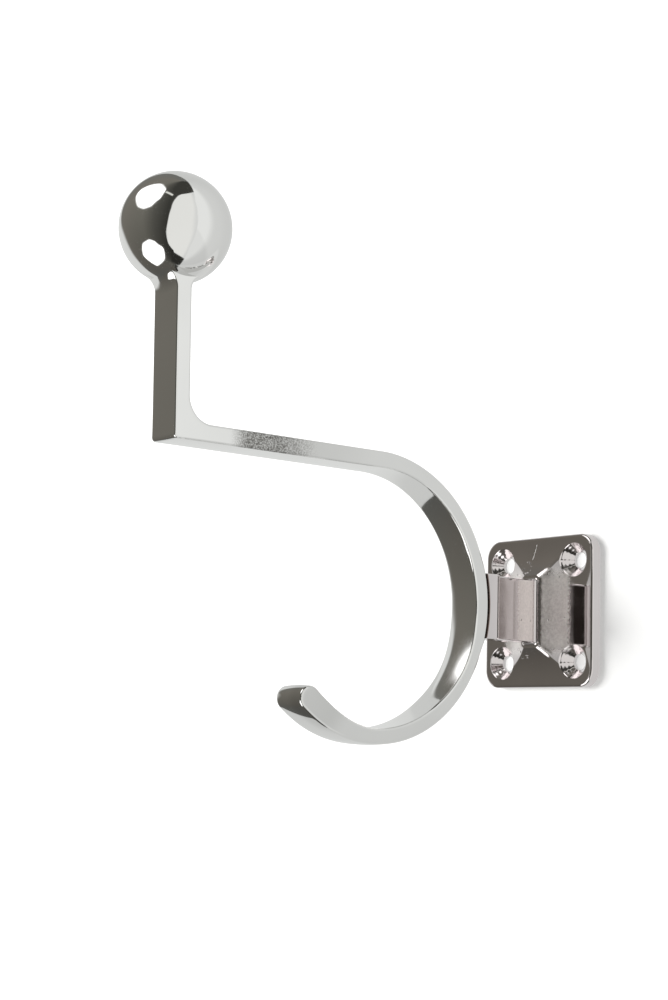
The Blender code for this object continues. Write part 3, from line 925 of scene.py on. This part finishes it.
def nickel():
    """Warm polished nickel of the plate, with casting skin drawn lighter as a painted sheen, pits, a white
    streak, cut rings and painted shade along the seam.
    """
    material, tree, shader, place = metal_material("warm_nickel")
    mirrored = combine(tree, "ABSOLUTE", place)
    sides = split(tree, mirrored)
    mottle = noise(tree, place, SKIN_MOTTLE_SCALE, detail=4.0, roughness=0.7)
    skin, foot = cast_skin(tree, sides, mottle)
    pits = casting_pits(tree, place, skin)
    # A near-white streak on the boss's top, rougher than the nickel.
    white_streak = multiply(tree, near_line(tree, place, WHITE_STREAK_START, WHITE_STREAK_END, WHITE_STREAK_HALF_WIDTH),
                       soft_range(tree, sides["Y"], *FRONT_REACH))
    radius = radius_about(tree, mirrored, (wall_hole_offset, 0.0, wall_hole_offset))
    turn = add(tree, "ShaderNodeCombineXYZ", {0: radius}).outputs[0]
    rings = noise(tree, turn, COUNTERSINK_RING_SCALE, detail=1.0)
    sunk = soft_range(tree, radius, *COUNTERSINK_RIM)
    tone = blend(tree, noise(tree, place, NICKEL_CLOUD_SCALE, detail=4.0), *NICKEL_TONES)
    # Painted sheen: the casting skin is drawn lighter than the nickel, as well as rougher and mottled.
    skin_sheen_tone = blend(tree, soft_range(tree, mottle, 0.35, 0.65), *SKIN_SHEEN_TONES)
    colour = blend(tree, skin, tone, skin_sheen_tone)
    # The pits are drawn dark.
    colour = blend(tree, multiply(tree, pits, PIT_SHARE), colour, PIT_COLOUR)
    colour = blend(tree, white_streak, colour, WHITE_STREAK_COLOUR)
    # Painted shade along the saddle's edge, in the crease against the bend.
    colour = blend(tree, seam_edge(tree, place), colour, SEAM_SHADE_COLOUR)
    buffed = streaks(tree, place, NICKEL_BUFF_SCALES)
    smudge = noise(tree, place, NICKEL_SMUDGE_SCALE, detail=3.0)
    rough_skin = multiply(tree, skin, soft_range(tree, mottle, 0.3, 0.7, *SKIN_ROUGHNESS))
    roughness = total(tree, soft_range(tree, buffed, 0.35, 0.8, *NICKEL_BUFF_ROUGHNESS),
                      soft_range(tree, smudge, 0.35, 0.75, *NICKEL_SMUDGE_ROUGHNESS),
                      largest(tree, rough_skin, multiply(tree, foot, FOOT_ROUGHNESS)),
                      multiply(tree, sunk, COUNTERSINK_ROUGHNESS),
                      multiply(tree, white_streak, WHITE_STREAK_ROUGHNESS))
    wavy = bumped(tree, noise(tree, place, NICKEL_WAVE_SCALE, detail=1.0), NICKEL_WAVE_HEIGHT)
    lined = bumped(tree, buffed, BUFF_HEIGHT, wavy)
    skinned = bumped(tree, multiply(tree, skin, mottle), SKIN_HEIGHT, lined)
    ringed = bumped(tree, multiply(tree, sunk, rings), COUNTERSINK_RING_HEIGHT, skinned)
    pitted = bumped(tree, calculate(tree, "SUBTRACT", 1.0, pits), PIT_DEPTH, ringed)
    finish_metal(tree, shader, colour, roughness, pitted)
    return material


def steel(name, tones, height):
    """Turned steel with fine rings round an axis that runs out from the wall at a height."""
    material, tree, shader, place = metal_material(name)
    radius = radius_about(tree, place, (0, 0, height))
    turn = add(tree, "ShaderNodeCombineXYZ", {0: radius, 1: split(tree, place)["Y"]}).outputs[0]
    rings = noise(tree, turn, STEEL_RING_SCALE)
    colour = blend(tree, noise(tree, place, STEEL_CLOUD_SCALE, detail=3.0), *tones)
    roughness = soft_range(tree, rings, 0.3, 0.7, *STEEL_ROUGHNESS)
    finish_metal(tree, shader, colour, roughness, bumped(tree, rings, STEEL_RING_HEIGHT))
    return material


def paint(piece, material):
    """Give a piece one material."""
    piece.data.materials.clear()
    piece.data.materials.append(material)


def dress(piece, material, node):
    """Give a piece its material and let it stand for a solid."""
    paint(piece, material)
    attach(piece, "root")
    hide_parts(node)


def stage_material(name):
    """An empty stage material and its nodes; its glow is not sampled as a lamp."""
    material = bpy.data.materials.new(name)
    material.use_nodes = True
    material.cycles.emission_sampling = "NONE"
    tree = material.node_tree
    tree.nodes.remove(tree.nodes["Principled BSDF"])
    return material, tree


def cover(tree, shader):
    """Put a shader on the material's surface."""
    tree.links.new(shader, tree.nodes["Material Output"].inputs["Surface"])


def emission(tree, colour, strength=1.0):
    """A shader that glows."""
    return add(tree, "ShaderNodeEmission", {"Color": colour, "Strength": strength}).outputs[0]


def show_to_metal_alone(thing):
    """Hide a stage piece from all but mirrored and refracted rays."""
    for kind in ("visible_camera", "visible_diffuse", "visible_shadow", "visible_volume_scatter"):
        setattr(thing, kind, False)


def direction(azimuth, elevation):
    """A direction from the object; azimuth 0 points out from the wall and 90 to the right, in degrees."""
    turn = math.radians(azimuth)
    rise = math.radians(elevation)
    return Vector((math.sin(turn) * math.cos(rise), -math.cos(turn) * math.cos(rise), math.sin(rise)))


def bounded(tree, place, corners, softness):
    """1 inside a patch of sky whose corners are given as directions, clockwise as the object sees it."""
    shares = []
    for first, second in zip(corners, corners[1:] + corners[:1]):
        edge = direction(*first).cross(direction(*second)).normalized()
        shares.append(soft_range(tree, measure(tree, "DOT_PRODUCT", place, edge), -softness, softness))
    return multiply(tree, *shares)


def curve(tree, elevation, places):
    """The azimuth at an elevation, on a smooth curve through (elevation, azimuth) pairs in degrees."""
    made = add(tree, "ShaderNodeFloatCurve", {1: even_range(tree, elevation, -90.0, 90.0)})
    line = made.mapping.curves[0]
    while len(line.points) < len(places):
        line.points.new(0.5, 0.5)
    for mark, (rise, turn) in zip(line.points, places):
        mark.location = (rise / 180 + 0.5, turn / 360 + 0.5)
        mark.handle_type = "AUTO_CLAMPED"
    made.mapping.update()
    return even_range(tree, made.outputs[0], 0.0, 1.0, -180.0, 180.0)


def dark_tone(tree, azimuth, elevation):
    """The colour of the dark room in a direction."""
    start, end = DARK_TONE_SPAN
    ramp = add(tree, "ShaderNodeValToRGB", {0: even_range(tree, azimuth, start, end)})
    tones = ramp.color_ramp
    while len(tones.elements) < len(DARK_TONES):
        tones.elements.new(0.5)
    for element, (turn, tone) in zip(tones.elements, DARK_TONES):
        element.position = (turn - start) / (end - start)
        element.color = (*tone, 1)
    return scaled(tree, ramp.outputs[0], even_range(tree, elevation, *DARK_RISE))


def studio_light():
    """The dome's light, painted by direction from the middle of the bend."""
    material, tree = stage_material("studio_light")
    place = combine(tree, "NORMALIZE", add(tree, "ShaderNodeTexCoord").outputs["Object"])
    parts = split(tree, place)
    out = multiply(tree, parts["Y"], -1.0)
    azimuth = calculate(tree, "DEGREES", calculate(tree, "ARCTAN2", parts["X"], out))
    elevation = calculate(tree, "DEGREES", calculate(tree, "ARCSINE", parts["Z"]))
    inside_right = calculate(tree, "SUBTRACT", curve(tree, elevation, DARK_RIGHT), azimuth)
    inside_left = calculate(tree, "SUBTRACT", azimuth, curve(tree, elevation, DARK_LEFT))
    dark_share = multiply(tree, soft_range(tree, inside_right, *DARK_RIGHT_EDGE),
                          soft_range(tree, inside_left, *DARK_LEFT_EDGE))
    behind = largest(tree, soft_range(tree, azimuth, *PALE_WALL_RIGHT),
                     soft_range(tree, azimuth, *PALE_WALL_LEFT))
    pale = blend(tree, behind, PALE, PALE_WALL)
    colour = blend(tree, dark_share, pale, dark_tone(tree, azimuth, elevation))
    for corners, softness, lamp in SOFT_LAMPS:
        colour = blend(tree, bounded(tree, place, corners, softness), colour, lamp)
    cover(tree, emission(tree, colour))
    return material


def make_studio():
    """A dome round the hook that only the metal sees: a dark room in front, soft lamps above and below."""
    shape = bmesh.new()
    bmesh.ops.create_uvsphere(shape, u_segments=STUDIO_SEGMENTS, v_segments=STUDIO_RINGS,
                              radius=STUDIO_RADIUS)
    bmesh.ops.translate(shape, verts=shape.verts[:], vec=(STUDIO_SHIFT, 0.0, 0.0))
    mesh = bpy.data.meshes.new("studio_dome")
    shape.to_mesh(mesh)
    shape.free()
    mesh.materials.append(studio_light())
    dome = bpy.data.objects.new("studio_dome", mesh)
    dome.location = point(0.0, bend_reach, 0.0)
    bpy.context.scene.collection.objects.link(dome)
    show_to_metal_alone(dome)


def make_world():
    """Plain light from all sides, white where the camera sees it."""
    world = bpy.data.worlds.new("studio")
    bpy.context.scene.world = world
    world.use_nodes = True
    tree = world.node_tree
    seen = add(tree, "ShaderNodeLightPath").outputs["Is Camera Ray"]
    shader = tree.nodes["Background"]
    shader.inputs["Color"].default_value = (1, 1, 1, 1)
    tree.links.new(even_range(tree, seen, 0.0, 1.0, ROOM_LIGHT, 1.0), shader.inputs["Strength"])


def make_camera():
    """A camera at the photograph's place, turned from the wall's normal by yaw, up by pitch, and rolled."""
    ahead = Vector((-math.sin(CAMERA_YAW) * math.cos(CAMERA_PITCH),
                    math.cos(CAMERA_YAW) * math.cos(CAMERA_PITCH),
                    math.sin(CAMERA_PITCH)))
    level = Vector((math.cos(CAMERA_YAW), math.sin(CAMERA_YAW), 0.0))
    upright = level.cross(ahead)
    right = level * math.cos(CAMERA_ROLL) + upright * math.sin(CAMERA_ROLL)
    up = upright * math.cos(CAMERA_ROLL) - level * math.sin(CAMERA_ROLL)
    turn = Matrix((right, up, -ahead)).transposed().to_4x4()
    camera = bpy.data.objects.new("camera", bpy.data.cameras.new("camera"))
    camera.data.lens = CAMERA_LENS
    camera.data.clip_start = CAMERA_CLIP
    camera.matrix_world = Matrix.Translation(CAMERA_PLACE) @ turn
    bpy.context.scene.collection.objects.link(camera)
    bpy.context.scene.camera = camera


def make_sheet(name, centre, aside, up, material):
    """A flat stage sheet about a centre, given by half its width and half its height."""
    corners = [centre - aside - up, centre + aside - up, centre + aside + up, centre - aside + up]
    mesh = bpy.data.meshes.new(name)
    mesh.from_pydata(corners, [], [(0, 1, 2, 3)])
    mesh.materials.append(material)
    sheet = bpy.data.objects.new(name, mesh)
    bpy.context.scene.collection.objects.link(sheet)
    return sheet


def wall_shading(tree):
    """How bright the metal sees the wall: more to the right and beside the plate, less left and low down."""
    parts = split(tree, add(tree, "ShaderNodeTexCoord").outputs["Object"])
    right = soft_range(tree, parts["X"], *WALL_RIGHT_X)
    beside = multiply(tree, soft_range(tree, parts["X"], *WALL_BESIDE_X),
                      soft_range(tree, parts["Z"], *WALL_BESIDE_Z))
    left = soft_range(tree, parts["X"], *WALL_LEFT_X)
    low = soft_range(tree, parts["Z"], *WALL_LOW_Z)
    return calculate(tree, "SUBTRACT", total(tree, right, beside), total(tree, left, low))


def stage_white(name, glow, mirrored, shading=None):
    """Matt white, with the tone that metal mirrors; its back is clear, so it never hides the object."""
    material, tree = stage_material(name)
    path = add(tree, "ShaderNodeLightPath").outputs
    matt = add(tree, "ShaderNodeBsdfDiffuse", {"Color": STAGE_PAINT}).outputs[0]
    light = emission(tree, (1, 1, 1, 1), multiply(tree, path["Is Camera Ray"], glow))
    plain = add(tree, "ShaderNodeAddShader", {0: matt, 1: light}).outputs[0]
    bright = emission(tree, mirrored, shading(tree) if shading else 1.0)
    in_metal = largest(tree, path["Is Glossy Ray"], path["Is Transmission Ray"])
    front = add(tree, "ShaderNodeMixShader", {0: in_metal, 1: plain, 2: bright}).outputs[0]
    clear = add(tree, "ShaderNodeBsdfTransparent").outputs[0]
    back = add(tree, "ShaderNodeNewGeometry").outputs["Backfacing"]
    cover(tree, add(tree, "ShaderNodeMixShader", {0: back, 1: front, 2: clear}).outputs[0])
    return material


def make_stage():
    """A white wall behind the plate and a pale floor well below the hook."""
    wall_paint = stage_white("wall_paint", WALL_GLOW, PALE_WALL, wall_shading)
    wall_width = Vector((WALL_HALF, 0.0, 0.0))
    wall_height = Vector((0.0, 0.0, WALL_HALF))
    make_sheet("wall", Vector((0.0, WALL_GAP, 0.0)), wall_width, wall_height, wall_paint)
    floor_paint = stage_white("floor_paint", FLOOR_GLOW, PALE)
    floor_width = Vector((FLOOR_HALF, 0.0, 0.0))
    floor_length = Vector((0.0, FLOOR_HALF, 0.0))
    floor = make_sheet("floor", Vector((0.0, 0.0, -FLOOR_DEPTH)), floor_width, floor_length, floor_paint)
    floor.visible_glossy = False


def make_card(name, centre, width, height, tone):
    """An upright card that faces the wall plate and that only the metal sees."""
    material, tree = stage_material(name)
    cover(tree, emission(tree, tone))
    aside = Vector((-centre.y, centre.x, 0.0)).normalized() * (width / 2)
    up = Vector((0.0, 0.0, height / 2))
    show_to_metal_alone(make_sheet(name, centre, aside, up, material))


def make_cards():
    """The cards that the plate mirrors, each with a pale screen that hides it from the ball."""
    ball = point(0.0, STEM_REACH, KNOB_HEIGHT)
    for name, place, width, tone in CARDS:
        centre = Vector(place)
        make_card(f"{name}_card", centre, width, CARD_HEIGHT, tone)
        make_card(f"{name}_screen", (ball + centre) / 2, (width + KNOB_DIAMETER) / 2,
                  (CARD_HEIGHT + KNOB_DIAMETER) / 2, PALE)


def make_lamp(plate):
    """One large soft lamp from the left, which gives the plate its soft shadow on the wall."""
    lamp = bpy.data.objects.new("soft_lamp", bpy.data.lights.new("soft_lamp", "AREA"))
    lamp.data.shape = "SQUARE"
    lamp.data.size = LAMP_SIZE
    lamp.data.energy = LAMP_POWER
    aim = direction(*LAMP_DIRECTION)
    lamp.location = aim * LAMP_DISTANCE
    lamp.rotation_mode = "QUATERNION"
    lamp.rotation_quaternion = aim.to_track_quat("Z", "Y")
    lamp.visible_glossy = False
    lamp.visible_camera = False
    blockers = bpy.data.collections.new("casts_on_wall")
    blockers.objects.link(plate)
    lamp.light_linking.blocker_collection = blockers
    bpy.context.scene.collection.objects.link(lamp)


def main():
    """Build the stage, then dress each piece."""
    make_camera()
    make_world()
    make_studio()
    make_stage()
    make_cards()
    dress(make_hook(), chrome(), "hook_arm")
    plate = make_plate()
    dress(plate, nickel(), "wall_plate")
    make_lamp(plate)
    for level, height in clamp_levels():
        paint(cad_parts[f"{level}_clamp_screw"], steel(f"{level}_turned_steel", SCREW_TONES, height))
        paint(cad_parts[f"{level}_lock_washer"], steel(f"{level}_spring_steel", WASHER_TONES, height))
    bpy.context.scene.view_settings.view_transform = "Standard"


main()
